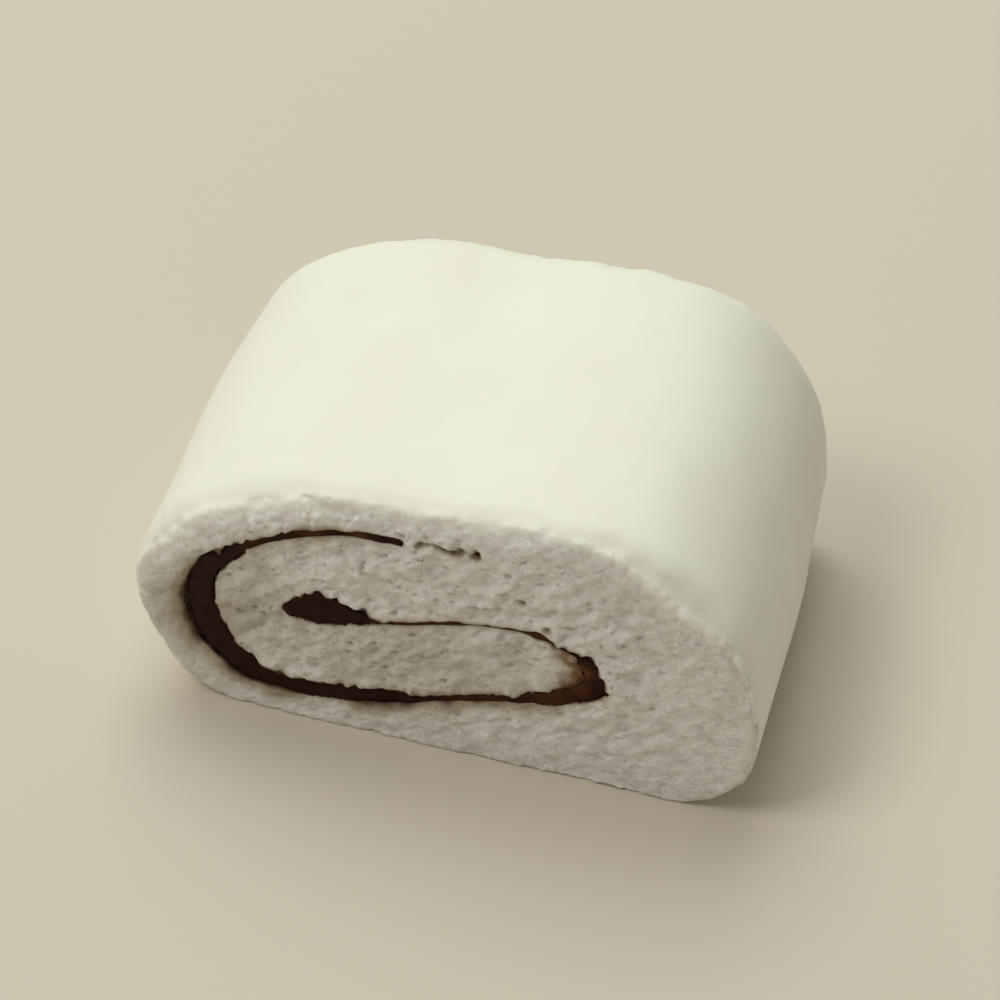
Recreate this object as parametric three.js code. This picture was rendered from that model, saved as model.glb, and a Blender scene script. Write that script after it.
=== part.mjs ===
// A hand-cut length of a white rolled sponge cake. One soft sheet of sponge is rolled up with a dark
// sweet paste spread on it, so the paste shows as a flattened spiral on both cut ends.
// The roll lies on its broad side: X is across the roll, Y along its axis and Z up. The front cut
// looks towards -Y. Everything is in millimetres.
import * as THREE from "three";

// Driving sizes of the cake.
const WIDTH = 67; // across the roll, near the front cut
const HEIGHT = 34.5; // top of the shoulder above the table
const LENGTH = 42; // along the axis, between the middles of the two cuts
const TAPER = 0.06; // share of its width that the roll loses from the front cut to the back one
const FRONT_CUT_SKEW = 5; // degrees that the front knife cut is off square
const BACK_CUT_SKEW = 7; // degrees that the back knife cut is off square, the same way
const CUT_EDGE_ROUND = 3; // how far behind a cut the skin starts to bend down to it
const CUT_EDGE_DROP = 1.3; // how far the skin has bent down at the top of the cut itself
const CUT_EDGE_LOW_SHARE = 0.3; // share of that drop that is left down at the table
const SWELL = 0.5; // how far the middle stands out past the two cut ends
const SKIN_FADE = 5; // power by which the skin's bends fade out towards the middle of the roll
const SQUARENESS = 2.6; // power of the rings round the middle, where 2 would be an ellipse
const SPIRAL_TURN = 5; // degrees that the spiral's heart has turned at the back cut
const PASTE_GAP = 0.3; // clearance all round the paste

// Soft lumps and hollows of the skin: their height, how many go round, how much each one leans
// along the roll, in radians, and where the first one starts.
const LUMPS = [
  { height: 0.3, round: 2, lean: 3.1, start: 0.4 },
  { height: 0.25, round: 3, lean: -4.4, start: 1.9 },
  { height: 0.15, round: 5, lean: 7.3, start: 0 },
];

// How finely the surfaces are divided.
const OUTLINE_STEPS = 84;
const SPIRAL_STEPS = 76; // along one side of the paste, four to each stretch between stops
const CAP_STEPS = 3; // round each end of the paste
const LENGTH_STEPS = 11;

// The skin's outline at a cut, anticlockwise from the left tip, in half widths and heights.
// It is low and pointed at the left, full at the right shoulder and settled flat underneath.
const OUTLINE = [
  [-1.0, 0.44],
  [-0.93, 0.16],
  [-0.73, -0.01],
  [0.73, -0.01],
  [0.95, 0.16],
  [1.0, 0.44],
  [0.92, 0.74],
  [0.7, 0.94],
  [0.4, 1.0],
  [0.0, 0.965],
  [-0.42, 0.93],
  [-0.74, 0.8],
  [-0.925, 0.64],
];

// The paste's line at a cut, from its outer end near the top, left and down round the first bend,
// along under the heart to the second bend, and back to the thick bead at the heart.
// Each stop is [half widths across, heights up, thickness in millimetres].
const SPIRAL = [
  [-0.09, 0.843, 0.5],
  [-0.28, 0.83, 0.9],
  [-0.49, 0.765, 1.1],
  [-0.665, 0.67, 1.6],
  [-0.78, 0.545, 2.5],
  [-0.81, 0.4, 3.0],
  [-0.752, 0.257, 3.0],
  [-0.63, 0.165, 2.2],
  [-0.44, 0.143, 1.3],
  [-0.15, 0.188, 1.0],
  [0.15, 0.277, 1.0],
  [0.37, 0.34, 1.3],
  [0.487, 0.415, 2.8],
  [0.447, 0.518, 1.6],
  [0.32, 0.578, 0.7],
  [0.09, 0.573, 0.6],
  [-0.15, 0.51, 0.8],
  [-0.28, 0.49, 2.4],
  [-0.385, 0.488, 4.0],
  [-0.49, 0.455, 1.4],
];

const radians = THREE.MathUtils.degToRad;
const halfWidth = WIDTH / 2;
const halfHeight = HEIGHT / 2;

// The skin's outline as a closed smooth curve.
function outlinePoints() {
  const stops = OUTLINE.map(([x, z]) => new THREE.Vector3(x * halfWidth, z * HEIGHT, 0));
  const curve = new THREE.CatmullRomCurve3(stops, true, "centripetal");
  return curve.getSpacedPoints(OUTLINE_STEPS).slice(0, OUTLINE_STEPS);
}

// The paste's line as a smooth curve whose third coordinate carries the paste's thickness.
function spiralCurve() {
  const stops = SPIRAL.map(([x, z, thick]) => new THREE.Vector3(x * halfWidth, z * HEIGHT, thick));
  return new THREE.CatmullRomCurve3(stops, false, "centripetal");
}

// The outline of the paste's section, widened all round by `extra`: up one side of its line,
// round the heart, down the other side, and round the outer end.
function pasteOutline(extra) {
  const stations = spiralCurve().getPoints(SPIRAL_STEPS);
  const directions = stations.map((_, i) => {
    const before = stations[Math.max(i - 1, 0)];
    const after = stations[Math.min(i + 1, SPIRAL_STEPS)];
    return new THREE.Vector2(after.x - before.x, after.y - before.y).normalize();
  });
  const beside = (i, turn) => {
    const { x, y, z: thick } = stations[i];
    const reach = thick / 2 + extra;
    const heading = directions[i].angle() + turn;
    return new THREE.Vector2(x + reach * Math.cos(heading), y + reach * Math.sin(heading));
  };
  const outline = [];
  for (let i = 0; i <= SPIRAL_STEPS; i++) outline.push(beside(i, -Math.PI / 2));
  for (let k = 1; k < CAP_STEPS; k++)
    outline.push(beside(SPIRAL_STEPS, -Math.PI / 2 + (k * Math.PI) / CAP_STEPS));
  for (let i = SPIRAL_STEPS; i >= 0; i--) outline.push(beside(i, Math.PI / 2));
  for (let k = 1; k < CAP_STEPS; k++)
    outline.push(beside(0, Math.PI / 2 + (k * Math.PI) / CAP_STEPS));
  return outline;
}

// How near a point of the section is to the skin: 0 at the middle and 1 at the outline.
function nearSkin(x, z) {
  const across = Math.abs(x / halfWidth) ** SQUARENESS;
  const up = Math.abs(z / halfHeight - 1) ** SQUARENESS;
  return Math.min(1, (across + up) ** (1 / SQUARENESS));
}

// How far the lumps lift the skin at an angle round the section and a place along the roll.
function lumpsAt(angle, along) {
  const lift = (total, lump) =>
    total + lump.height * Math.sin(lump.round * angle + lump.lean * along + lump.start);
  return LUMPS.reduce(lift, 0);
}

// Carries a point of the flat section to its place in the cake. `along` is 0 at the front cut and
// 1 at the back one.
function placed(x, z, along) {
  const skin = nearSkin(x, z);
  const rim = skin ** SKIN_FADE;

  // The heart turns a little along the roll; the skin doesn't.
  const turn = radians(SPIRAL_TURN) * along * (1 - skin ** 2);
  const up = z - halfHeight;
  const turnedX = x * Math.cos(turn) - up * Math.sin(turn);
  const turnedUp = x * Math.sin(turn) + up * Math.cos(turn);

  // The skin swells between the cuts and bends in over a quarter round to meet each of them.
  const angle = Math.atan2(turnedUp / halfHeight, turnedX / halfWidth);
  const fromCut = Math.min(along, 1 - along) * LENGTH;
  const bend = 1 - Math.min(fromCut / CUT_EDGE_ROUND, 1);
  const share = THREE.MathUtils.lerp(CUT_EDGE_LOW_SHARE, 1, THREE.MathUtils.smoothstep(z, 0, HEIGHT));
  const drop = CUT_EDGE_DROP * share * (1 - Math.sqrt(1 - bend ** 2));
  const swell = (SWELL + lumpsAt(angle, along)) * Math.sin(Math.PI * along);
  const outwards = (swell - drop) * rim;
  const normal = new THREE.Vector2(turnedX / halfWidth ** 2, turnedUp / halfHeight ** 2).normalize();
  const placedX = (turnedX + outwards * normal.x) * (1 - TAPER * along);
  const placedZ = Math.max(0, turnedUp + halfHeight + outwards * normal.y);

  // Each knife cut is a plane, a few degrees off square.
  const front = -LENGTH / 2 - placedX * Math.tan(radians(FRONT_CUT_SKEW));
  const back = LENGTH / 2 - placedX * Math.tan(radians(BACK_CUT_SKEW));
  return new THREE.Vector3(placedX, THREE.MathUtils.lerp(front, back, along), placedZ);
}

// Extrudes a section of the cake along the roll and gives it the cake's form.
// The stations are closer together near the cuts, where the skin bends in.
function rolled(section) {
  const geometry = new THREE.ExtrudeGeometry(section, {
    depth: 1,
    steps: LENGTH_STEPS,
    bevelEnabled: false,
  });
  const position = geometry.getAttribute("position");
  for (let i = 0; i < position.count; i++) {
    const along = (1 + Math.cos(Math.PI * position.getZ(i))) / 2;
    const point = placed(position.getX(i), position.getY(i), along);
    position.setXYZ(i, point.x, point.y, point.z);
  }
  geometry.computeVertexNormals();
  return geometry;
}

// The sponge: the whole roll, with the slot that holds the paste running through it.
function spongeGeometry() {
  const section = new THREE.Shape(outlinePoints().map(({ x, y }) => new THREE.Vector2(x, y)));
  section.holes.push(new THREE.Path(pasteOutline(PASTE_GAP)));
  return rolled(section);
}

// The paste: one unbroken layer from cut to cut.
function pasteGeometry() {
  return rolled(new THREE.Shape(pasteOutline(0)));
}

const sponge = new THREE.Mesh(
  spongeGeometry(),
  new THREE.MeshStandardMaterial({ color: 0xe9ebda, roughness: 0.75, metalness: 0 }),
);
sponge.name = "sponge";

const paste = new THREE.Mesh(
  pasteGeometry(),
  new THREE.MeshStandardMaterial({ color: 0x2b150e, roughness: 0.25, metalness: 0 }),
);
paste.name = "paste";

// The origin is under the middle of the cake, on the table.
const swissRoll = new THREE.Group();
swissRoll.add(sponge, paste);
const middle = new THREE.Box3().setFromObject(sponge).getCenter(new THREE.Vector3());
swissRoll.position.set(-middle.x, -middle.y, 0);

export default swissRoll;
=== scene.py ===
"""Looks of a hand-cut piece of white rolled sponge cake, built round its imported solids.

One soft sheet of sponge is rolled up with a dark sweet paste and cut across twice. Sizes and places
are in millimetres until a mesh is made, and in metres after that, in the frame of the solids: X is
across the roll, Y along it from the front cut to the back one, and Z up from the table.
"""

import logging
import math
from collections.abc import Sequence
from dataclasses import dataclass, field
from enum import Enum
from typing import Any

import bpy
import numpy as np
from mathutils import Matrix, Vector
from mathutils.geometry import delaunay_2d_cdt


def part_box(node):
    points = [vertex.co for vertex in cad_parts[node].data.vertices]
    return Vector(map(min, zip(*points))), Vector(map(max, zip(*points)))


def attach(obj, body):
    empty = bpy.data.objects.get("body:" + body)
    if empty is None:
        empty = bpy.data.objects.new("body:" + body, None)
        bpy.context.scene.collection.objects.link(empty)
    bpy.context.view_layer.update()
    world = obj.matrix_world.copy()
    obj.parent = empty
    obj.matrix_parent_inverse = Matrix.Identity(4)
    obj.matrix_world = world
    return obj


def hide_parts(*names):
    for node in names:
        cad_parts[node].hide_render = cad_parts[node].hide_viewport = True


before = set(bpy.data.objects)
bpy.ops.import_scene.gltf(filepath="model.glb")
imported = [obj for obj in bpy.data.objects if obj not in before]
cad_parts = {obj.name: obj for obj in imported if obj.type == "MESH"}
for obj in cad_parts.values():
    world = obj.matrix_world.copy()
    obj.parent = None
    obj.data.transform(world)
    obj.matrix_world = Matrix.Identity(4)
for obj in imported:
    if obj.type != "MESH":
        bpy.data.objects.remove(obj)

LOG = logging.getLogger("swiss_roll")
MM = 0.001  # metres in a millimetre
BODY = "root"

Array = np.ndarray
NodeTree = bpy.types.NodeTree
Node = bpy.types.Node
Socket = bpy.types.NodeSocket
Links = dict[str | int, Any]


# --------------------------------------------------------------------------------------------------
# Numbers: colours, steps, noise and curves
# --------------------------------------------------------------------------------------------------


def linear(colour: str) -> tuple[float, float, float, float]:
    """Turns an sRGB colour into the linear one that a shader socket takes, by the standard's formula.

    Args:
        colour: Six hex digits after a hash sign.

    Returns:
        Linear red, green and blue, and an alpha of 1.
    """
    srgb = np.array([int(colour[i : i + 2], 16) for i in (1, 3, 5)]) / 255.0
    lin = np.where(srgb <= 0.04045, srgb / 12.92, ((srgb + 0.055) / 1.055) ** 2.4)
    return (float(lin[0]), float(lin[1]), float(lin[2]), 1.0)


def smoothstep(low: float, high: float, value: Array) -> Array:
    """A soft step: 3 t^2 - 2 t^3, where t runs from 0 at low to 1 at high.

    Args:
        low: Where the step starts.
        high: Where the step ends.
        value: Where it is asked for.

    Returns:
        Numbers from 0 to 1.
    """
    t = np.clip((value - low) / (high - low), 0.0, 1.0)
    return t * t * (3.0 - 2.0 * t)


def chance(cells: Array, seed: int) -> Array:
    """Even, repeatable random numbers for the cells of a whole-numbered grid.

    Each cell's numbers are multiplied by large odd constants, and their bits are mixed twice.

    Args:
        cells: Whole numbers, with the cell's two or three coordinates last.
        seed: Picks one set of random numbers.

    Returns:
        Numbers from 0 to 1, one for each cell.
    """
    odd = np.array([0x9E3779B1, 0x85EBCA77, 0xC2B2AE3D], dtype=np.uint64)
    bits = (cells.astype(np.int64).astype(np.uint64) * odd[: cells.shape[-1]]).sum(-1)
    bits = bits + np.uint64(seed * 0x27D4EB2F + 0x165667B1)
    for shift in (15, 13):
        bits = (bits ^ (bits >> np.uint64(shift))) * np.uint64(0x2545F4914F6CDD1D)
    return (bits >> np.uint64(40)).astype(float) / float(1 << 24)


def noise(points: Array, size: float | Sequence[float], seed: int) -> Array:
    """Smooth noise: random values on a grid, joined by soft steps.

    Args:
        points: Places in millimetres, with two or three coordinates last.
        size: The grid's spacing in millimetres, for all axes or for each one.
        seed: Picks one noise.

    Returns:
        Numbers from -1 to 1, one for each place.
    """
    scaled = points / np.asarray(size, dtype=float)
    low = np.floor(scaled)
    part = scaled - low
    part = part * part * (3.0 - 2.0 * part)
    axes = points.shape[-1]
    total = np.zeros(points.shape[:-1])
    for corner in np.ndindex(*(2,) * axes):
        side = np.array(corner)
        weight = np.prod(np.where(side == 1, part, 1.0 - part), axis=-1)
        total += weight * chance(low + side, seed)
    return 2.0 * total - 1.0


def rough_noise(points: Array, size: float, octaves: int, seed: int) -> Array:
    """Noise of several sizes added up, each half as large and half as strong as the last.

    Args:
        points: Places in millimetres, with two or three coordinates last.
        size: The largest size, in millimetres.
        octaves: How many sizes are added.
        seed: Picks one noise.

    Returns:
        Numbers that stay mostly between -1 and 1.
    """
    layers = [noise(points, size / 2**k, seed + k) / 2**k for k in range(octaves)]
    return np.sum(layers, axis=0) / (2.0 - 2.0 ** (1 - octaves))


def round_cells(points: Array, size: float, radii: tuple[float, float], share: float, seed: int) -> Array:
    """How deep places lie inside random balls, of which each cell of a grid holds one or none.

    The depth is the height of a half ball, sqrt(1 - (distance / radius)^2), scaled by its radius,
    and where balls meet the largest counts.

    Args:
        points: Places in millimetres, with two or three coordinates last.
        size: The grid's spacing in millimetres.
        radii: The smallest and largest radius, as shares of the spacing.
        share: The share of cells that hold a ball.
        seed: Picks one set of balls.

    Returns:
        Numbers from 0 outside the balls to 1 at the middle of the largest.
    """
    scaled = points / size
    home = np.floor(scaled)
    deepest = np.zeros(points.shape[:-1])
    axes = points.shape[-1]
    for step in np.ndindex(*(3,) * axes):
        cell = home + np.array(step) - 1.0
        centre = cell + np.stack([chance(cell, seed + k) for k in range(axes)], axis=-1)
        radius = radii[0] + (radii[1] - radii[0]) * chance(cell, seed + 3) ** 2
        reach = ((scaled - centre) ** 2).sum(-1) / radius**2
        depth = np.sqrt(np.clip(1.0 - reach, 0.0, 1.0)) * radius / radii[1]
        deepest = np.maximum(deepest, np.where(chance(cell, seed + 4) < share, depth, 0.0))
    return deepest


def bell(value: Array, reach: float) -> Array:
    """A bell curve, exp(-(value / reach)^2), which is 1 at a value of 0."""
    return np.exp(-((value / reach) ** 2))


@dataclass(frozen=True)
class Waves:
    """A layer of smooth noise: its height, the size of its waves in millimetres, and its seed."""

    height: float
    size: float | tuple[float, float, float]
    seed: int

    def at(self, points: Array) -> Array:
        """The waves' heights at some places."""
        return self.height * noise(points, self.size, self.seed)

    def moves(self, points: Array, axes: int) -> Array:
        """A move for each place, with a layer of its own for each axis."""
        return self.height * np.stack([noise(points, self.size, self.seed + k) for k in range(axes)], -1)


def layered(layers: Sequence[tuple[float, float]], points: Array, seed: int) -> Array:
    """Layers of waves added up, each given by its height and size, with seeds that count up."""
    return sum(Waves(height, size, seed + k).at(points) for k, (height, size) in enumerate(layers))


@dataclass(frozen=True)
class Balls:
    """A layer of random balls: their depth, spacing and radii, the share of cells with one, a seed."""

    depth: float
    size: float
    radii: tuple[float, float]
    share: float
    seed: int

    def at(self, points: Array) -> Array:
        """How deep some places lie inside the balls."""
        return self.depth * round_cells(points, self.size, self.radii, self.share, self.seed)


def curve_through(stops: Array, per_stretch: int, closed: bool) -> Array:
    """A centripetal Catmull-Rom curve through some stops.

    Between two stops the curve is a cubic whose end slopes come from the neighbouring stops,
    weighed by the square roots of the distances between them.

    Args:
        stops: One row for each stop.
        per_stretch: How many points each stretch between two stops gets.
        closed: Whether the last stop joins the first.

    Returns:
        The curve's points, without a doubled last one on a closed curve.
    """
    if closed:
        padded = np.vstack([stops[-1:], stops, stops[:2]])
    else:
        padded = np.vstack([2 * stops[:1] - stops[1:2], stops, 2 * stops[-1:] - stops[-2:-1]])
    p0, p1, p2, p3 = padded[:-3], padded[1:-2], padded[2:-1], padded[3:]
    d0, d1, d2 = (np.sqrt(np.linalg.norm(b - a, axis=1))[:, None] for a, b in ((p0, p1), (p1, p2), (p2, p3)))
    slope1 = ((p1 - p0) / d0 - (p2 - p0) / (d0 + d1) + (p2 - p1) / d1) * d1
    slope2 = ((p2 - p1) / d1 - (p3 - p1) / (d1 + d2) + (p3 - p2) / d2) * d1
    t = (np.arange(per_stretch) / per_stretch)[None, :, None]
    a, b, c, d = (m[:, None, :] for m in (p1, p2, slope1, slope2))
    points = a + c * t + (3 * (b - a) - 2 * c - d) * t**2 + (2 * (a - b) + c + d) * t**3
    points = points.reshape(-1, stops.shape[1])
    return points if closed else np.vstack([points, stops[-1:]])


def evenly(points: Array, spacing: float, closed: bool) -> Array:
    """Points at even steps along a line, measured in its first two coordinates.

    Args:
        points: The line's points, one a row.
        spacing: The step that is wanted, in millimetres.
        closed: Whether the last point joins the first.

    Returns:
        The new points, with the other coordinates carried along.
    """
    line = np.vstack([points, points[:1]]) if closed else points
    steps = np.linalg.norm(np.diff(line[:, :2], axis=0), axis=1)
    reach = np.concatenate([[0.0], np.cumsum(steps)])
    count = max(3, round(reach[-1] / spacing))
    at = np.linspace(0.0, reach[-1], count + 1)
    even = np.stack([np.interp(at, reach, column) for column in line.T], axis=1)
    return even[:-1] if closed else even


def side_directions(line: Array, closed: bool) -> Array:
    """Unit vectors to the right of a flat line's heading, found from each point's neighbours.

    Args:
        line: The line's points, with two coordinates.
        closed: Whether the last point joins the first.

    Returns:
        One unit vector for each point.
    """
    if closed:
        heading = np.roll(line, -1, axis=0) - np.roll(line, 1, axis=0)
    else:
        heading = np.gradient(line, axis=0)
    heading /= np.linalg.norm(heading, axis=1, keepdims=True)
    return np.stack([heading[:, 1], -heading[:, 0]], axis=1)


def turned_about_y(points: Array, degrees: float) -> Array:
    """Places turned in the plane of x and z, so that the new x runs along a direction of that plane."""
    c, s = math.cos(math.radians(degrees)), math.sin(math.radians(degrees))
    x, y, z = points[..., 0], points[..., 1], points[..., 2]
    return np.stack([c * x + s * z, y, c * z - s * x], axis=-1)


def softened(loops: Array, rounds: int) -> Array:
    """Closed loops whose points are moved a quarter of the way to each neighbour, some times over.

    Args:
        loops: One or more loops, with the points in the last axis but one.
        rounds: How many times.

    Returns:
        The softer loops.
    """
    for _ in range(rounds):
        loops = (np.roll(loops, 1, axis=-2) + 2 * loops + np.roll(loops, -1, axis=-2)) / 4
    return loops


def inside(points: Array, loop: Array) -> Array:
    """Whether flat points lie inside a closed loop.

    A point is inside where a ray from it to the right crosses the loop an odd number of times.

    Args:
        points: The points, with two coordinates.
        loop: The loop's corners in order.

    Returns:
        True or False for each point.
    """
    (x1, z1), (x2, z2) = loop.T, np.roll(loop, -1, axis=0).T
    px, pz = points[:, :1], points[:, 1:]
    crosses = (z1 > pz) != (z2 > pz)
    rise = np.where(z2 == z1, 1.0, z2 - z1)
    meets = px < x1 + (pz - z1) * (x2 - x1) / rise
    return (crosses & meets).sum(axis=1) % 2 == 1


def distance_to(points: Array, line: Array, reach: Array | float = 0.0, block: int = 4096) -> Array:
    """The distance from flat points to a line of round dots, each with its own radius.

    Args:
        points: The points, with two coordinates last.
        line: The dots' middles.
        reach: The dots' radii.
        block: How many points are worked out at once, to save memory.

    Returns:
        The distance to the nearest dot's edge, below zero inside it.
    """
    rows = points.reshape(-1, 2)
    found = [
        (np.hypot(some[:, :1] - line[:, 0], some[:, 1:] - line[:, 1]) - reach).min(axis=1)
        for some in (rows[i : i + block] for i in range(0, len(rows), block))
    ]
    return np.concatenate(found).reshape(points.shape[:-1])


# --------------------------------------------------------------------------------------------------
# Meshes and shader nodes
# --------------------------------------------------------------------------------------------------


def grid_quads(rings: Array, closed: bool) -> Array:
    """The four-cornered faces between neighbouring rows of a grid of vertex numbers.

    Args:
        rings: Vertex numbers, one row for each ring or line.
        closed: Whether each row's last vertex joins its first.

    Returns:
        Four vertex numbers a row, in the order: this row, next column, next row, back.
    """
    if closed:
        rings = np.hstack([rings, rings[:, :1]])
    corners = (rings[:-1, :-1], rings[:-1, 1:], rings[1:, 1:], rings[1:, :-1])
    return np.stack([corner.ravel() for corner in corners], axis=1)


def halved(quads: Array) -> Array:
    """Two triangles for each four-cornered face."""
    return np.vstack([quads[:, :3], quads[:, (0, 2, 3)]])


def outward_normals(points: Array, triangles: Array) -> Array:
    """Unit normals of a mesh's vertices: the sum of their triangles' normals, weighed by area.

    Args:
        points: The mesh's vertices.
        triangles: Three vertex numbers a row, facing outwards.

    Returns:
        One unit vector for each vertex.
    """
    a, b, c = (points[triangles[:, k]] for k in range(3))
    facing = np.repeat(np.cross(b - a, c - a), 3, axis=0)
    sums = [np.bincount(triangles.ravel(), facing[:, k], len(points)) for k in range(3)]
    normal = np.stack(sums, axis=1)
    return normal / np.maximum(np.linalg.norm(normal, axis=1, keepdims=True), 1e-12)


def make_mesh(name: str, points: Array, faces: Array, **attributes: Array) -> bpy.types.Object:
    """Makes a smooth-shaded mesh object at the origin.

    Args:
        name: The object's name.
        points: Its vertices in millimetres.
        faces: Three or four vertex numbers a row.
        attributes: Numbers for a material to read, one for each vertex, by name.

    Returns:
        The new object, linked to the scene.
    """
    mesh = bpy.data.meshes.new(name)
    mesh.vertices.add(len(points))
    mesh.vertices.foreach_set("co", (points * MM).astype(np.float32).ravel())
    mesh.loops.add(faces.size)
    mesh.loops.foreach_set("vertex_index", faces.astype(np.int32).ravel())
    mesh.polygons.add(len(faces))
    starts = np.arange(len(faces), dtype=np.int32) * faces.shape[1]
    mesh.polygons.foreach_set("loop_start", starts)
    mesh.polygons.foreach_set("use_smooth", np.ones(len(faces), dtype=bool))
    mesh.update(calc_edges=True)
    mesh.validate()
    for key, values in attributes.items():
        attribute = mesh.attributes.new(key, "FLOAT", "POINT")
        attribute.data.foreach_set("value", values.astype(np.float32))
    piece = bpy.data.objects.new(name, mesh)
    bpy.context.scene.collection.objects.link(piece)
    return piece


def add_node(
    tree: NodeTree,
    kind: str,
    settings: dict[str, Any] | None = None,
    links: Links | None = None,
) -> Node:
    """Adds a shader node, sets it up and joins its inputs.

    Args:
        tree: The node tree.
        kind: The node's type.
        settings: Properties of the node by name.
        links: Its inputs by name or number: a node's output socket, or a plain value.

    Returns:
        The new node.
    """
    node = tree.nodes.new(kind)
    for name, value in (settings or {}).items():
        setattr(node, name, value)
    for name, value in (links or {}).items():
        socket = node.inputs[name]
        if isinstance(value, Socket):
            tree.links.new(value, socket)
        else:
            socket.default_value = value
    return node


@dataclass(frozen=True)
class Grain:
    """A fine relief that a material draws: its size and height in millimetres, strength and detail."""

    size: float
    height: float
    strength: float
    detail: float = 2.0


@dataclass(frozen=True)
class Shading:
    """A material that is being made, with short ways to the steps that finishes are built from."""

    material: bpy.types.Material
    tree: NodeTree
    shader: Node
    place: Socket

    @classmethod
    def named(cls, name: str) -> "Shading":
        """Starts a material with a Principled shader and the object's own coordinates."""
        material = bpy.data.materials.new(name)
        material.use_nodes = True
        tree = material.node_tree
        place = add_node(tree, "ShaderNodeTexCoord").outputs["Object"]
        return cls(material, tree, tree.nodes["Principled BSDF"], place)

    def attribute(self, name: str) -> Socket:
        """A number that the mesh carries."""
        return add_node(self.tree, "ShaderNodeAttribute", {"attribute_name": name}).outputs["Fac"]

    def mixed(self, share: Any, first: Any, second: Any, blend: str = "MIX") -> Socket:
        """Two colours mixed, where share is how much of the second one shows."""
        settings = {"data_type": "RGBA", "blend_type": blend, "clamp_factor": True}
        return add_node(self.tree, "ShaderNodeMix", settings, {0: share, 6: first, 7: second}).outputs[2]

    def sum(self, operation: str, *values: Any) -> Socket:
        """One sum, such as MULTIPLY or MULTIPLY_ADD, on numbers or sockets."""
        node = add_node(self.tree, "ShaderNodeMath", {"operation": operation}, dict(enumerate(values)))
        return node.outputs[0]

    def stepped(self, value: Any, low: float, high: float) -> Socket:
        """A soft step from 0 to 1 while the value goes from low to high."""
        links = {"Value": value, "From Min": low, "From Max": high}
        node = add_node(self.tree, "ShaderNodeMapRange", {"interpolation_type": "SMOOTHSTEP"}, links)
        return node.outputs[0]

    def clouds(self, size: float, detail: float = 2.0) -> Socket:
        """Noise whose patches are size millimetres across."""
        links = {"Vector": self.place, "Scale": 1.0 / (size * MM), "Detail": detail, "Roughness": 0.55}
        return add_node(self.tree, "ShaderNodeTexNoise", {}, links).outputs["Fac"]

    def pores(self, size: float, place: Socket) -> Socket:
        """Round pores about size millimetres apart: 1 between them and 0 at their middles."""
        links = {"Vector": place, "Scale": 1.0 / (size * MM), "Randomness": 1.0}
        distance = add_node(self.tree, "ShaderNodeTexVoronoi", {"feature": "F1"}, links).outputs["Distance"]
        return self.stepped(distance, 0.12, 0.5)

    def warped(self, size: float, reach: float) -> Socket:
        """The object's coordinates, moved by up to reach millimetres in patches size across."""
        links = {"Vector": self.place, "Scale": 1.0 / (size * MM), "Detail": 1.0}
        moves = add_node(self.tree, "ShaderNodeTexNoise", {}, links).outputs["Color"]
        links = {0: moves, 1: (reach * MM,) * 3, 2: self.place}
        return add_node(self.tree, "ShaderNodeVectorMath", {"operation": "MULTIPLY_ADD"}, links).outputs[0]

    def bump(self, height: Socket, grain: Grain, under: Socket | None = None) -> Socket:
        """A normal bent by a height, where a height of 1 stands as high as the grain says."""
        links: Links = {"Strength": grain.strength, "Distance": grain.height * MM, "Height": height}
        if under is not None:
            links["Normal"] = under
        return add_node(self.tree, "ShaderNodeBump", {}, links).outputs["Normal"]

    def finish(self, linked: dict[str, Socket], plain: dict[str, Any]) -> bpy.types.Material:
        """Joins the shader's linked inputs, sets its plain ones and hands over the material."""
        for name, socket in linked.items():
            self.tree.links.new(socket, self.shader.inputs[name])
        for name, value in plain.items():
            self.shader.inputs[name].default_value = value
        return self.material


# --------------------------------------------------------------------------------------------------
# Finishes
# --------------------------------------------------------------------------------------------------


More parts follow.
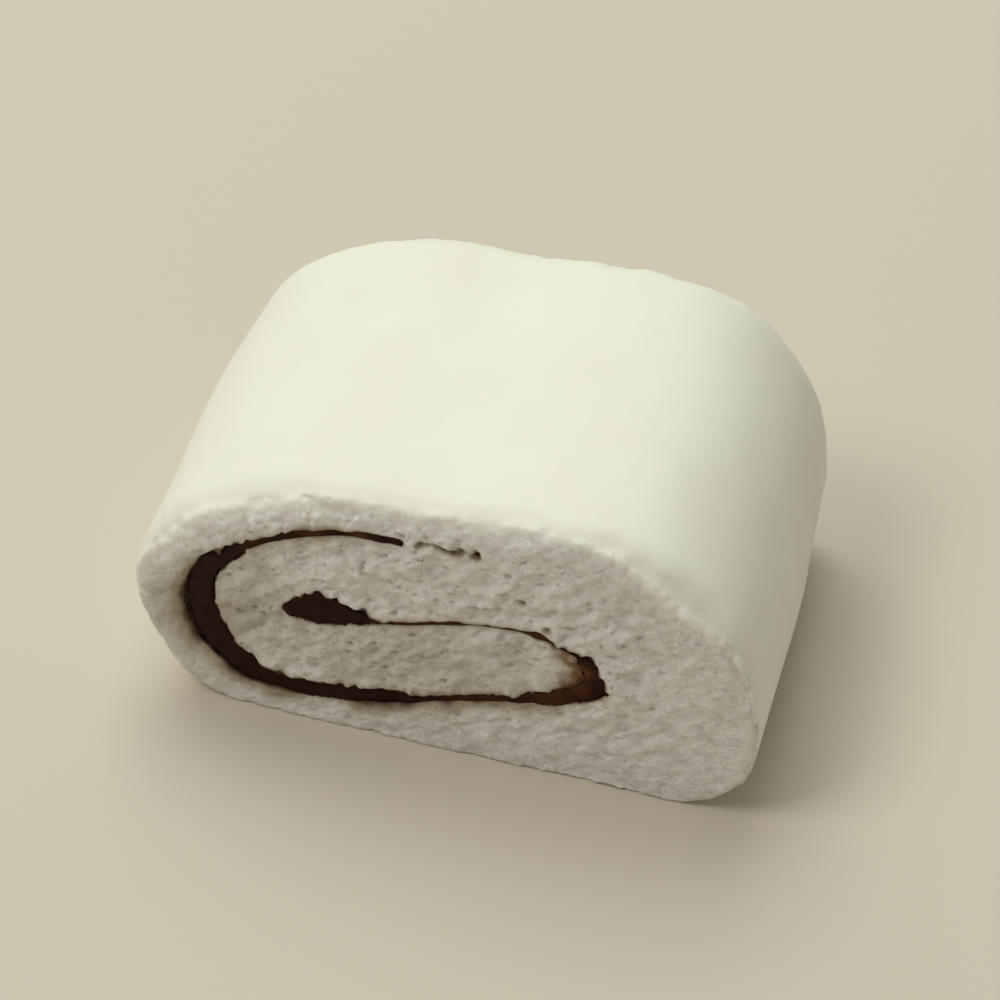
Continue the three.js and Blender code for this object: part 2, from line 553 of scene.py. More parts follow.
@dataclass(frozen=True)
class SteamedSponge:
    """Steamed white sponge cake, with a smooth set skin and a knife-cut crumb.

    The skin set against a lined tray, so it is closed, satin and cream. The crumb was opened by a
    knife, so it is matt and full of small soft pores, and it soaks up brown next to the paste.
    Light sinks a millimetre or so into both, which softens their shadows.
    """

    skin: str = "#f1f3e9"
    skin_patches: str = "#eeeee1"
    crumb: str = "#eae9e6"
    crumb_shade: str = "#d8d6d2"
    # Painted shade: the colour that pores, bubbles and tears darken towards, where shade falls in them.
    painted_pore_shade: str = "#bdb5a5"
    # Painted highlight: the pale colour of the torn rim, where light catches it.
    rim_highlight: str = "#fafaf4"
    syrup: str = "#a67c4a"
    # The colours that soaked crumb and its painted shade go through, with the amount at which each starts and
    # is whole.
    soaked: tuple[tuple[float, float, str], ...] = (
        (0.02, 0.4, "#a89c87"),
        (0.35, 0.7, "#5b4534"),
        (0.65, 0.95, "#24120c"),
    )
    skin_roughness: float = 0.55
    crumb_roughness: float = 0.92
    syrup_roughness: float = 0.3
    patch_size: float = 16.0  # mm across one patch of slightly deeper cream
    patch_span: tuple[float, float] = (0.35, 0.75)  # noise over which one cream turns to the other
    mottle_size: float = 1.6  # mm across one light or dark fleck of crumb
    mottle_span: tuple[float, float] = (0.4, 0.7)  # noise over which light flecks turn to dark ones
    pore_sizes: tuple[float, float] = (0.62, 0.34)  # mm between pores that are too fine for the mesh
    pore_shares: tuple[float, float] = (0.65, 0.35)  # what the coarse and the fine pores add
    pore_warp: tuple[float, float] = (1.2, 0.5)  # mm across one patch of uneven pores, and their moves
    pore_shade_share: float = 0.22  # how much painted shade of the pores' colour they get
    cluster_size: float = 3.4  # mm across one group of open pores
    cluster_span: tuple[float, float] = (0.4, 0.66)  # noise over which the pores open
    closed_share: float = 0.4  # how much of the pores shows outside the groups
    wall_grain: Grain = Grain(0.16, 0.16, 0.5)  # the grain of the pores' walls
    wall_share: float = 0.4  # how much of it is added to the pores
    fuzz: Grain = Grain(0.6, 0.4, 0.6, 3.0)  # the soft crumbs of the torn surface
    lining_print: Grain = Grain(0.5, 0.05, 0.2, 3.0)  # the print of the tray's lining
    light_weight: float = 0.25  # the share of light that sinks in
    light_reach: float = 0.6  # mm that it sinks in
    light_radii: tuple[float, float, float] = (1.0, 0.85, 0.65)  # red goes furthest

    def material(self) -> bpy.types.Material:
        """Builds the material, which reads the mesh's crumb, stain and shade, syrup, painted pit shade and
        painted rim highlight.
        """
        make = Shading.named("steamed_sponge")
        names = ("crumb", "stain", "syrup", "pit", "rim")
        crumb, stain, syrup, pit, rim = (make.attribute(name) for name in names)
        warped = make.warped(*self.pore_warp)
        coarse, fine = (make.pores(size, warped) for size in self.pore_sizes)
        open_patches = make.stepped(make.clouds(self.cluster_size, 1.0), *self.cluster_span)
        coarse = make.sum("MULTIPLY", coarse, self.pore_shares[0])
        pores = make.sum("MULTIPLY_ADD", fine, self.pore_shares[1], coarse)
        opened = make.stepped(make.sum("SUBTRACT", 1.0, pores), 0.0, 1.0)
        grouped = make.sum("MULTIPLY_ADD", open_patches, 1.0 - self.closed_share, self.closed_share)
        shown = make.sum("MULTIPLY", opened, grouped)

        patches = make.stepped(make.clouds(self.patch_size), *self.patch_span)
        skin = make.mixed(patches, linear(self.skin), linear(self.skin_patches))
        mottle = make.stepped(make.clouds(self.mottle_size, 3.0), *self.mottle_span)
        body = make.mixed(mottle, linear(self.crumb), linear(self.crumb_shade))
        # Painted shade: pores, bubbles and tears darken towards the pore colour.
        dark = make.sum("MAXIMUM", make.sum("MULTIPLY", shown, self.pore_shade_share), pit)
        body = make.mixed(dark, body, linear(self.painted_pore_shade))
        # The torn rim gets a painted highlight.
        colour = make.mixed(rim, make.mixed(crumb, skin, body), linear(self.rim_highlight))
        for low, high, soaked in self.soaked:
            colour = make.mixed(make.stepped(stain, low, high), colour, linear(soaked))
        colour = make.mixed(syrup, colour, linear(self.syrup), "MULTIPLY")

        rougher = self.crumb_roughness - self.skin_roughness
        dry = make.sum("MULTIPLY_ADD", crumb, rougher, self.skin_roughness)
        wetter = self.syrup_roughness - self.crumb_roughness
        roughness = make.sum("MULTIPLY_ADD", syrup, wetter, dry)

        walls = make.sum("SUBTRACT", 1.0, shown)
        walls = make.sum("MULTIPLY_ADD", make.clouds(self.wall_grain.size), self.wall_share, walls)
        puffs = make.sum("MULTIPLY", make.clouds(self.fuzz.size, self.fuzz.detail), crumb)
        rough = make.bump(make.sum("MULTIPLY", walls, crumb), self.wall_grain, make.bump(puffs, self.fuzz))
        lining = make.clouds(self.lining_print.size, self.lining_print.detail)
        normal = make.bump(lining, self.lining_print, rough)
        linked = {"Base Color": colour, "Roughness": roughness, "Normal": normal}
        plain = {
            "IOR": 1.4,
            "Subsurface Weight": self.light_weight,
            "Subsurface Radius": self.light_radii,
            "Subsurface Scale": self.light_reach * MM,
        }
        return make.finish(linked, plain)


@dataclass(frozen=True)
class SweetPaste:
    """Boiled sweet paste, smooth, sticky and nearly black.

    It was spread with a palette knife and then cut, so the cut is softly wavy and a little smeared.
    It is dark brown in the mass, with a damp gloss where it is smooth.
    """

    mass: str = "#270f0b"
    flecks: str = "#331a11"
    thinned: str = "#7a4d2c"
    gloss: float = 0.4
    dull: float = 0.65
    specular: float = 0.08  # faint, because the paste's fine grain breaks up the gloss
    fleck_size: float = 1.1  # mm across one fleck
    fleck_span: tuple[float, float] = (0.35, 0.75)  # noise over which the mass turns to a fleck
    ripples: Grain = Grain(0.7, 0.12, 0.4)  # the ripples that the knife left

    def material(self) -> bpy.types.Material:
        """Builds the material."""
        make = Shading.named("sweet_paste")
        flecks = make.stepped(make.clouds(self.fleck_size, 3.0), *self.fleck_span)
        colour = make.mixed(flecks, linear(self.mass), linear(self.flecks))
        colour = make.mixed(make.attribute("thinned"), colour, linear(self.thinned))
        wet = make.sum("MULTIPLY_ADD", flecks, self.dull - self.gloss, self.gloss)
        ripples = make.bump(make.clouds(self.ripples.size), self.ripples)
        linked = {"Base Color": colour, "Roughness": wet, "Normal": ripples}
        return make.finish(linked, {"IOR": 1.4, "Specular IOR Level": self.specular})


@dataclass(frozen=True)
class PaintedBoard:
    """A board painted with pale matt emulsion, which gives an even, quiet ground."""

    paint: str = "#d5cdbf"
    roughness: float = 0.85

    def material(self) -> bpy.types.Material:
        """Builds the material."""
        make = Shading.named("painted_board")
        return make.finish({}, {"Base Color": linear(self.paint), "Roughness": self.roughness})


# --------------------------------------------------------------------------------------------------
# The cake's main form
# --------------------------------------------------------------------------------------------------


class Cut(Enum):
    """The two knife cuts, by how far along the roll they are."""

    FRONT = 0.0
    BACK = 1.0

    def along(self, share: Array) -> Array:
        """Turns a share of the length counted from this cut into one from the front cut."""
        return share if self is Cut.FRONT else 1.0 - share

    def pick(self, pair: tuple[Any, Any]) -> Any:
        """The first of a pair for the front cut, and the second for the back one."""
        return pair[0] if self is Cut.FRONT else pair[1]


@dataclass(frozen=True)
class Lump:
    """One soft wave of the skin: its height, how many go round, its lean along the roll, its start."""

    height: float
    round: int
    lean: float
    start: float


@dataclass(frozen=True)
class RollForm:
    """The cake's main form, which carries a point of the flat section to its place in the cake."""

    width: float = 67.0
    height: float = 34.5
    length: float = 42.0
    taper: float = 0.06  # share of its width that the roll loses on the way back
    cut_skews: tuple[float, float] = (5.0, 7.0)  # degrees that the cuts are off square
    swell: float = 0.5  # how far the middle stands out past the cuts
    skin_fade: float = 5.0  # power by which the skin's bends fade towards the heart
    squareness: float = 2.6  # power of the rings round the heart, where 2 would be an ellipse
    spiral_turn: float = 5.0  # degrees that the heart has turned at the back cut
    stop_steps: int = 24  # points between two stops of a line
    survey_spacing: float = 2.0  # between points where the form's own box is measured
    survey_rings: int = 13
    lumps: tuple[Lump, ...] = (Lump(0.3, 2, 3.1, 0.4), Lump(0.25, 3, -4.4, 1.9), Lump(0.15, 5, 7.3, 0.0))
    # The skin's outline at a cut, anticlockwise from the left tip, in half widths and heights.
    outline: tuple[tuple[float, float], ...] = (
        (-1.013, 0.44),
        (-0.943, 0.16),
        (-0.75, -0.01),
        (0.73, -0.01),
        (0.95, 0.16),
        (1.0, 0.44),
        (0.92, 0.74),
        (0.7, 0.94),
        (0.4, 1.0),
        (0.0, 0.965),
        (-0.42, 0.93),
        (-0.74, 0.8),
        (-0.925, 0.64),
    )
    # The paste's line at a cut, from its outer end to the bead at the heart: half widths across,
    # heights up, and the paste's thickness in millimetres.
    spiral: tuple[tuple[float, float, float], ...] = (
        (-0.1, 0.838, 0.95),
        (-0.28, 0.826, 1.0),
        (-0.485, 0.757, 0.95),
        (-0.65, 0.65, 1.15),
        (-0.76, 0.538, 2.0),
        (-0.79, 0.4, 2.75),
        (-0.742, 0.256, 3.0),
        (-0.63, 0.152, 2.5),
        (-0.44, 0.133, 1.7),
        (-0.15, 0.182, 1.05),
        (0.15, 0.271, 0.95),
        (0.37, 0.335, 1.25),
        (0.49, 0.418, 2.0),
        (0.452, 0.516, 1.0),
        (0.32, 0.577, 0.75),
        (0.09, 0.56, 0.68),
        (-0.15, 0.494, 0.64),
        (-0.28, 0.479, 1.3),
        (-0.385, 0.486, 3.5),
        (-0.482, 0.455, 1.3),
    )

    @property
    def half_width(self) -> float:
        """Half the roll's width."""
        return self.width / 2

    @property
    def half_height(self) -> float:
        """Half the roll's height."""
        return self.height / 2

    def skin_line(self, spacing: float) -> Array:
        """The skin's outline as an even closed line, with two coordinates a point."""
        stops = np.array(self.outline) * (self.half_width, self.height)
        return evenly(curve_through(stops, self.stop_steps, closed=True), spacing, closed=True)

    def paste_line(self, spacing: float) -> Array:
        """The paste's line as an even open line, whose third coordinate is the thickness."""
        stops = np.array(self.spiral) * (self.half_width, self.height, 1.0)
        return evenly(curve_through(stops, self.stop_steps, closed=False), spacing, closed=False)

    def near_skin(self, flat: Array) -> Array:
        """How near flat points are to the skin: 0 at the middle and 1 at the outline.

        With x and z from the middle in half widths and half heights, it is (|x|^p + |z|^p)^(1/p).
        """
        ratio = np.abs(flat / (self.half_width, self.half_height) - (0.0, 1.0))
        return np.minimum(1.0, (ratio**self.squareness).sum(-1) ** (1 / self.squareness))

    def place(self, flat: Array, along: Array) -> Array:
        """Carries flat points to their place in the cake.

        The heart turns a little on the way back, the skin swells between the cuts with soft sine
        waves, the roll narrows evenly, and each cut is a plane a few degrees off square.

        Args:
            flat: Points of the flat section, with x and z last.
            along: How far along the roll each one is, from 0 at the front cut to 1 at the back.

        Returns:
            Places in the cake in millimetres, with x, y and z last.
        """
        skin = self.near_skin(flat)
        turn = math.radians(self.spiral_turn) * along * (1 - skin**2)
        x, up = flat[..., 0], flat[..., 1] - self.half_height
        turned_x = x * np.cos(turn) - up * np.sin(turn)
        turned_up = x * np.sin(turn) + up * np.cos(turn)

        angle = np.arctan2(turned_up / self.half_height, turned_x / self.half_width)
        waves = [w.height * np.sin(w.round * angle + w.lean * along + w.start) for w in self.lumps]
        outwards = (self.swell + np.sum(waves, axis=0)) * np.sin(np.pi * along) * skin**self.skin_fade
        slope = np.stack([turned_x / self.half_width**2, turned_up / self.half_height**2], axis=-1)
        slope /= np.maximum(np.linalg.norm(slope, axis=-1, keepdims=True), 1e-9)
        placed_x = (turned_x + outwards * slope[..., 0]) * (1 - self.taper * along)
        placed_z = np.maximum(0.0, turned_up + self.half_height + outwards * slope[..., 1])

        lean_front, lean_back = (math.tan(math.radians(skew)) for skew in self.cut_skews)
        front = -self.length / 2 - placed_x * lean_front
        back = self.length / 2 - placed_x * lean_back
        return np.stack([placed_x, front + (back - front) * along, placed_z], axis=-1)

    def middle(self, node: str) -> Array:
        """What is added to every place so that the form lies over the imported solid's own box."""
        line = self.skin_line(self.survey_spacing)
        along = np.linspace(0.0, 1.0, self.survey_rings)[:, None] * np.ones(len(line))
        places = self.place(np.broadcast_to(line, (*along.shape, 2)), along)
        low, high = (np.array(corner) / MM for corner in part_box(node))
        own = (places.min((0, 1)) + places.max((0, 1))) / 2
        return ((low + high) / 2 - own) * (1.0, 1.0, 0.0)


@dataclass(frozen=True)
class Spot:
    """A round spot on a cut: its middle, its radius and how strong it is."""

    x: float
    z: float
    radius: float
    strength: float

    def at(self, flat: Array) -> Array:
        """The spot's strength at flat points: strength times exp(-(distance / radius)^2)."""
        return self.strength * np.exp(-((flat - (self.x, self.z)) ** 2).sum(-1) / self.radius**2)


def spots_at(spots: Sequence[Spot], flat: Array) -> Array:
    """The strengths of several spots at flat points, added up."""
    return np.sum([spot.at(flat) for spot in spots], axis=0)


@dataclass(frozen=True)
class CutEdge:
    """The soft quarter oval over which a cut turns into the skin.

    Its turn is 0 degrees where it leaves the cut and 90 where it meets the skin. It is wide at the
    top, where the cut sponge sags, and tight at the table and on the right. At the front cut's
    shoulders the skin was drawn down over it.
    """

    inwards: float = 3.2  # half axis across the cut, at the top
    depth: float = 3.2  # half axis along the roll, at the top
    low_share: float = 0.36  # share of both that is left at the table
    full_height: float = 0.95  # share of the roll's height at which both are whole
    right_share: float = 0.6  # share of both that is left at the right
    right_span: tuple[float, float] = (0.3, 0.85)  # half widths over which they shrink to it
    rim_turn: float = 50.0  # degrees round the oval to the ring that the knife left
    shoulders: tuple[Spot, ...] = (
        Spot(26.0, 29.0, 8.0, 1.0),
        Spot(-19.0, 29.5, 6.0, 0.35),
        Spot(-29.5, 21.5, 5.0, 0.5),
    )
    shoulder_gain: float = 1.2  # share by which the oval is larger there
    shoulder_turn: float = 27.0  # degrees by which the skin reaches further round there
    shoulder_calm: float = 0.7  # share of the oval's unevenness that is lost there
    uneven: tuple[tuple[float, float], ...] = ((0.2, 5.0), (0.12, 1.9))  # shares, and their sizes in mm
    seeds: tuple[int, int] = (31, 35)

    def drawn(self, flat: Array, cut: Cut) -> Array:
        """How far the skin was drawn down over the edge at flat points, from 0 to 1."""
        return spots_at(self.shoulders, flat) if cut is Cut.FRONT else np.zeros(flat.shape[:-1])

    def size(self, form: RollForm, flat: Array, cut: Cut) -> Array:
        """How large the oval is at flat points, as a share of its size at the top."""
        risen = smoothstep(0.0, self.full_height * form.height, flat[..., 1])
        high = self.low_share + (1 - self.low_share) * risen
        side = 1 - (1 - self.right_share) * smoothstep(*self.right_span, flat[..., 0] / form.half_width)
        drawn = self.drawn(flat, cut)
        uneven = (1 - self.shoulder_calm * drawn) * layered(self.uneven, flat, cut.pick(self.seeds))
        return high * side * (1 + self.shoulder_gain * drawn) * (1 + uneven)

    def profile(self, turn: Array, size: Array) -> tuple[Array, Array]:
        """The distance in from the skin and the depth behind the cut, at a turn round the oval.

        They are a (1 - sin(turn)) and b (1 - cos(turn)), where a and b are the oval's half axes.
        """
        angle = np.radians(turn)
        return self.inwards * size * (1 - np.sin(angle)), self.depth * size * (1 - np.cos(angle))

    def turn_at(self, inwards: Array, size: Array) -> Array:
        """The turn round the oval at a distance in from the skin."""
        return np.degrees(np.arcsin(np.clip(1 - inwards / (self.inwards * size), 0.0, 1.0)))


# --------------------------------------------------------------------------------------------------
# What the crumb and the skin look like close up
# --------------------------------------------------------------------------------------------------


@dataclass(frozen=True)
class SkinRelief:
    """The set skin's relief: long soft ridges, a slight unevenness and a few small dents."""

    ridges: tuple[Waves, ...] = (Waves(0.12, (9.0, 24.0, 9.0), 11), Waves(0.06, (3.5, 9.0, 3.5), 12))
    uneven_height: float = 0.03
    uneven_size: float = 2.4
    dents: Balls = Balls(0.1, 6.0, (0.06, 0.14), 0.3, 13)

    def at(self, places: Array) -> Array:
        """How far the skin stands out at some places in the cake, in millimetres."""
        ridges = sum(ridge.at(places) for ridge in self.ridges)
        uneven = self.uneven_height * rough_noise(places, self.uneven_size, 3, 18)
        return ridges + uneven - self.dents.at(places)


@dataclass(frozen=True)
class CrumbRelief:
    """The knife-cut crumb's relief, with heights and sizes in millimetres."""

    wander: Waves = Waves(0.22, 15.0, 42)  # the knife's slow wander
    lumps: Waves = Waves(0.15, 2.7, 43)
    webs: Waves = Waves(0.36, (2.0, 1.2, 1.1), 44)  # torn webs, long the way the knife went
    creases: Waves = Waves(1.0, (1.3, 0.9, 0.8), 45)  # where this is 0, a thin web stands up
    crease_height: float = 0.3
    crease_level: float = 0.3
    crumbs: Waves = Waves(0.1, (0.8, 0.6, 0.5), 46)
    drag: float = 38.0  # degrees above the table at which the knife dragged the crumb
    # How lively the relief is: everywhere, in the inner laps and beside the slot.
    lively_shares: tuple[float, float, float] = (0.45, 0.85, 0.3)
    lively_patches: Waves = Waves(0.35, 6.0, 41)
    inner_span: tuple[float, float] = (0.5, 0.92)  # nearness to the skin over which the inner laps end
    slot_reach: float = 1.5  # how far from the slot it is livelier
    tufts: Balls = Balls(1.0, 1.15, (0.25, 0.5), 0.6, 47)
    tuft_height: float = 0.4
    tuft_squeeze: tuple[float, float, float] = (1.0, 0.8, 1.0)
    tuft_reaches: tuple[float, float] = (0.8, 0.7)  # how far above the slot and beside it tufts stand
    tuft_beside: float = 0.5  # share of the tufts that stand beside the slot
    overhang: float = 0.9  # how far the slot is lifted to find what lies above it
    bubbles: tuple[Balls, ...] = (
        Balls(1.0, 1.9, (0.12, 0.3), 0.2, 55),
        Balls(0.8, 1.1, (0.15, 0.38), 0.25, 60),
        Balls(0.6, 0.7, (0.2, 0.45), 0.35, 65),
    )
    bubble_squeeze: tuple[float, float, float] = (0.8, 1.0, 1.1)
    bubble_stray: Waves = Waves(0.3, 1.1, 52)
    bubble_limit: float = 1.2  # how much deeper the liveliest crumb's bubbles are
    bubble_depth: float = 0.5
    bubble_shade: float = 0.75  # how much of a bubble's depth darkens it, as painted shade
    lip_depth: float = 0.35  # how far the crumb rounds down into the slot
    lip_width: float = 0.6
    lip_shares: tuple[float, float] = (0.2, 0.8)  # what of it all paste has, and thick paste adds
    lip_level: float = 0.7
    lip_waves: Waves = Waves(0.3, 1.3, 70)

    def at(
        self, places: Array, near_skin: Array, gap: Array, above: Array, heavy: Array
    ) -> tuple[Array, Array]:
        """How far the crumb stands out, and how deep in a bubble each point is.

        The height is a slow wander of the knife, plus soft lumps, webs and crumbs, plus torn tufts
        that stand up beside the paste, less opened bubbles of three sizes, less the lip that rounds
        down into the slot. Lumps, webs, crumbs and bubbles are stronger in the inner laps.

        Args:
            places: The points' places in the cake.
            near_skin: How near they are to the skin in the flat section, from 0 to 1.
            gap: Their distances to the slot.
            above: Their distances to the slot lifted by the overhang.
            heavy: Their distances to the slot where the paste is thick.

        Returns:
            The heights in millimetres, and the bubbles from 0 to 1.
        """
        anywhere, inside_laps, at_slot = self.lively_shares
        inner = 1 - smoothstep(*self.inner_span, near_skin)
        beside = np.exp(-np.maximum(gap, 0) / self.slot_reach)
        lively = anywhere + inside_laps * inner + at_slot * beside
        lively = lively * (1 + self.lively_patches.at(places))

        dragged = turned_about_y(places, self.drag)
        creases = self.crease_height * (self.crease_level - np.abs(self.creases.at(dragged)))
        webs = self.webs.at(dragged) + creases
        lumps = self.lumps.at(places) + webs + self.crumbs.at(dragged)

        over = bell(np.maximum(above, 0), self.tuft_reaches[0])
        beside = bell(np.maximum(gap, 0), self.tuft_reaches[1])
        tufts = self.tufts.at(places * self.tuft_squeeze) * np.maximum(over, self.tuft_beside * beside)

        strayed = places * self.bubble_squeeze + self.bubble_stray.moves(places, 3)
        opened = np.maximum.reduce([bubbles.at(strayed) for bubbles in self.bubbles])
        opened = opened * np.clip(lively, 0.0, self.bubble_limit)

        all_paste, thick_paste = (1 - smoothstep(0.0, self.lip_width, edge) for edge in (gap, heavy))
        lip = self.lip_shares[0] * all_paste + self.lip_shares[1] * thick_paste
        lip = self.lip_depth * lip * (self.lip_level + self.lip_waves.at(places))

        height = self.wander.at(places) + lumps * lively + self.tuft_height * tufts
        return height - self.bubble_depth * opened - lip, opened


@dataclass(frozen=True)
class Tears:
    """What is torn open in the front cut: small holes, and the seam beyond the paste's outer end.

    Sizes and places are in millimetres.
    """

    holes: tuple[Spot, ...] = (
        Spot(4.7, 29.7, 0.4, 0.7),
        Spot(4.6, 28.9, 0.45, 0.8),
        Spot(2.9, 29.6, 0.4, 0.5),
        Spot(0.6, 29.4, 0.4, 0.4),
        Spot(5.2, 22.0, 0.35, 0.6),
        Spot(9.0, 23.8, 0.45, 0.6),
        Spot(11.6, 20.9, 0.4, 0.8),
    )
    seam: tuple[float, float, float] = (-2.2, 5.2, 28.9)  # its ends' x, and its z
    seam_fades: tuple[float, float] = (0.8, 0.6)  # over which it opens and closes at its ends
    seam_reach: float = 0.42  # how far above and below its middle it reaches
    seam_wander: Waves = Waves(0.45, 1.3, 75)
    open_level: float = 0.55  # how far it is open on the whole
    open_waves: Waves = Waves(0.8, 0.9, 76)
    deepest: float = 1.2
    depth: float = 0.9  # how far a tear of 1 goes into the crumb
    fraying: Waves = Waves(0.25, 0.7, 72)  # moves that make its edges ragged

    def at(self, flat: Array) -> Array:
        """How deep the cut is torn: its holes, and a wandering seam that opens here and there."""
        start, end, height = self.seam
        x, z = flat[..., 0], flat[..., 1]
        middle = height + self.seam_wander.at(flat * (1.0, 0.0))
        opens, closes = self.seam_fades
        reach = smoothstep(start, start + opens, x) * (1 - smoothstep(end - closes, end, x))
        opened = np.clip(self.open_level + self.open_waves.at(flat), 0, 1)
        seam = reach * opened * bell(z - middle, self.seam_reach)
        return np.clip(spots_at(self.holes, flat) + seam, 0, self.deepest)


@dataclass(frozen=True)
class PasteStainAndShade:
    """How the paste has coloured the crumb, in brown edges, soaked patches and syrup, with painted shade in
    tears and on the inner laps.
    """

    # How brown the crumb is at the paste, and the distance over which that fades, in millimetres.
    all_edge: tuple[float, float] = (0.3, 0.2)
    thick_edge: tuple[float, float] = (0.6, 0.22)
    halo: tuple[float, float] = (0.24, 0.5)
    soak_reach: float = 1.1
    syrup_reach: float = 1.2
    patch_level: float = 0.85
    patches: Waves = Waves(0.3, 1.1, 71)
    syrup_level: float = 0.8
    syrup_waves: Waves = Waves(0.4, 0.9, 74)
    syrup_clears: float = 0.5  # share of the brown that syrup takes from the edge
    tear_shade: float = 0.6  # how much painted shade a tear gets
    wall: float = 0.9  # how brown the slot's wall is
    # Where the paste has soaked far into the crumb.
    soaks: tuple[Spot, ...] = (
        Spot(-29.6, 14.5, 3.0, 0.7),
        Spot(-28.8, 9.5, 3.0, 1.2),
        Spot(-27.6, 19.5, 2.4, 0.4),
        Spot(-24.5, 3.8, 3.0, 0.8),
        Spot(-18.5, 2.4, 3.0, 0.8),
        Spot(-9.5, 3.2, 2.6, 0.65),
        Spot(-4.5, 4.3, 2.4, 0.62),
        Spot(0.5, 5.8, 2.4, 0.6),
        Spot(6.0, 7.4, 2.4, 0.58),
        Spot(11.5, 9.2, 2.4, 0.58),
        Spot(-12.0, 26.0, 4.0, 0.4),
        Spot(14.4, 15.0, 1.7, 0.6),
    )
    # Where amber syrup has seeped out of it.
    syrups: tuple[Spot, ...] = (
        Spot(14.0, 16.2, 1.7, 2.2),
        Spot(13.7, 13.7, 1.8, 2.6),
        Spot(13.2, 17.7, 1.2, 1.4),
    )
    # Broad painted shade where the inner laps, the lower left and the torn seam lie in shadow.
    painted_shade_spots: tuple[Spot, ...] = (
        Spot(-21.5, 14.0, 6.0, 0.22),
        Spot(-19.0, 21.5, 3.5, 0.12),
        Spot(-31.0, 12.0, 6.0, 0.15),
        Spot(-28.0, 5.0, 5.5, 0.13),
        Spot(-10.0, 10.5, 6.5, 0.17),
        Spot(0.0, 13.0, 6.5, 0.18),
        Spot(9.5, 15.5, 5.0, 0.12),
        Spot(2.8, 29.2, 1.7, 0.2),
    )

    def brown(self, places: Array, flat: Array, gap: Array, heavy: Array, torn: Array) -> Array:
        """How brown the crumb is: most at the slot's edge, less beside thin paste and in syrup.

        The brown is the larger of the edge's bell curves and of what has soaked in, which falls off
        as exp(-distance / reach), plus painted shade in the tears and on the painted shade spots.

        Args:
            places: Places in the cake.
            flat: The same points in the flat section.
            gap: Their distances to the slot.
            heavy: Their distances to the slot where the paste is thick.
            torn: How deep the front cut is torn there.

        Returns:
            Numbers from 0 for clean crumb to about 1 for paste.
        """
        patchy = self.patch_level + self.patches.at(places)
        reach = np.maximum(gap, 0)
        (all_brown, all_width), (thick_brown, thick_width) = self.all_edge, self.thick_edge
        edge = (all_brown * bell(reach, all_width) + thick_brown * bell(heavy, thick_width)) * patchy
        edge *= 1 - self.syrup_clears * np.clip(spots_at(self.syrups, flat), 0, 1)
        halo = self.halo[0] * np.exp(-reach / self.halo[1])
        soaked = (halo + spots_at(self.soaks, flat) * np.exp(-reach / self.soak_reach)) * patchy
        # The tears' and the shade spots' share is painted shade.
        return np.maximum(edge, soaked) + self.tear_shade * torn + spots_at(self.painted_shade_spots, flat)

    def syrup(self, places: Array, flat: Array, gap: Array) -> Array:
        """How much syrup the crumb holds, which falls off as exp(-distance / reach) from the slot."""
        strength = spots_at(self.syrups, flat) * (self.syrup_level + self.syrup_waves.at(places))
        return strength * np.exp(-np.maximum(gap, 0) / self.syrup_reach)


@dataclass(frozen=True)
class TornRim:
    """The ragged line where the knife tore the skin, which stands up, with a painted highlight that makes it
    paler than both sides.
    """

    crumb_turns: tuple[float, float] = (24.0, 52.0)  # degrees round the edge over which crumb ends
    wavers: tuple[Waves, ...] = (Waves(12.0, 1.5, 81), Waves(10.0, 0.6, 82))  # degrees high
    height: float = 0.32  # mm
    turn: float = 48.0  # degrees round the edge to its middle
    reach: float = 10.0  # degrees to either side
    level: float = 0.65
    fraying: tuple[Waves, ...] = (Waves(0.5, 3.0, 83), Waves(0.5, 0.9, 84))
    # How high it stands: at both cuts, at the front cut, and where the skin was drawn down.
    height_shares: tuple[float, float, float] = (0.5, 0.5, 0.5)
    highlight_share: float = 0.2  # how much painted highlight it has where the skin was not drawn down

    def crumb(self, turn: Array, places: Array) -> Array:
        """How much points are crumb rather than skin, at turns round the cut's edge."""
        return 1 - smoothstep(*self.crumb_turns, sum((waver.at(places) for waver in self.wavers), turn))

    def strength(self, turn: Array, places: Array) -> Array:
        """How strong the rim is: a bell curve round its turn, frayed by two layers of noise."""
        frayed = sum((layer.at(places) for layer in self.fraying), self.level)
        return bell(turn - self.turn, self.reach) * frayed


